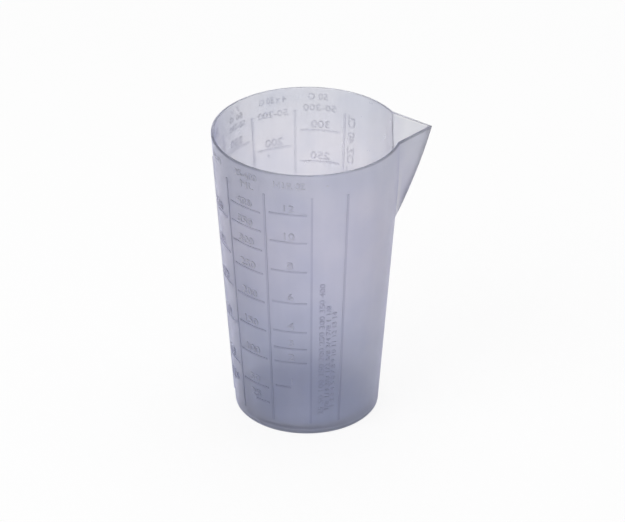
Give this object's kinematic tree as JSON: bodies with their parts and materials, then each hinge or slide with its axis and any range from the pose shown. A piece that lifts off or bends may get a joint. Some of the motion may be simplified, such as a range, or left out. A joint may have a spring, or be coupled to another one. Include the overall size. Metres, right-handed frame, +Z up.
{
  "type": "measuring cup",
  "caption": "Tapered translucent measuring cup, moulded in one piece, with a sharp pouring beak at the rim and upright columns of raised graduation lines round the wall.",
  "frame": {"origin": "centre of the ring that the cup stands on, in the resting plane", "axes": "+Z up along the cup's axis, +X towards the pouring beak"},
  "size_m": [0.0933, 0.081, 0.132],
  "materials": {
    "cup": "frosted translucent polypropylene, cool lavender grey, satin moulded surface"
  },
  "bodies": {
    "root": {"cup": "cup"}
  },
  "joints": []
}
